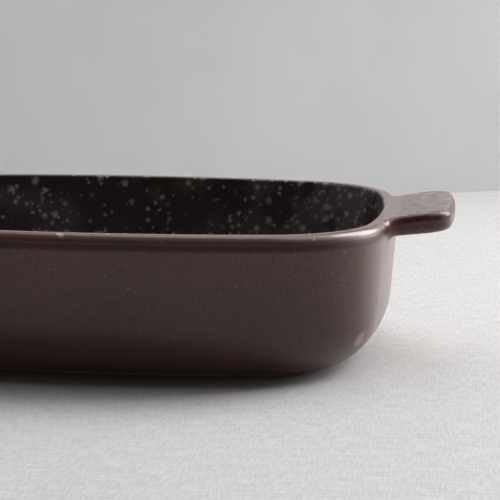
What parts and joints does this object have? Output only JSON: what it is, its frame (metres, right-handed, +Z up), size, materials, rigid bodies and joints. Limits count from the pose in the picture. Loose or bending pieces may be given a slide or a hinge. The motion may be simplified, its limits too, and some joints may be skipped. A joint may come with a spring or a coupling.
{
  "type": "lasagna dish",
  "caption": "Deep rounded-rectangle stoneware baking dish with a lifted tab handle at each end, a satin outer glaze and a speckled inner glaze.",
  "frame": {"origin": "on the table, under the middle of the foot ring", "axes": "+X along the dish towards the right handle, +Y across it, +Z up out of the open mouth"},
  "size_m": [0.33, 0.208, 0.0745],
  "materials": {
    "bare_stoneware": "matte fired clay",
    "satin_glaze": "satin",
    "speckled_glaze": "satin with pale speckles"
  },
  "bodies": {
    "root": {"stoneware_body": "bare_stoneware", "handle_right": "bare_stoneware", "handle_left": "bare_stoneware", "outer_glaze": "satin_glaze", "inner_glaze": "speckled_glaze"}
  },
  "joints": []
}
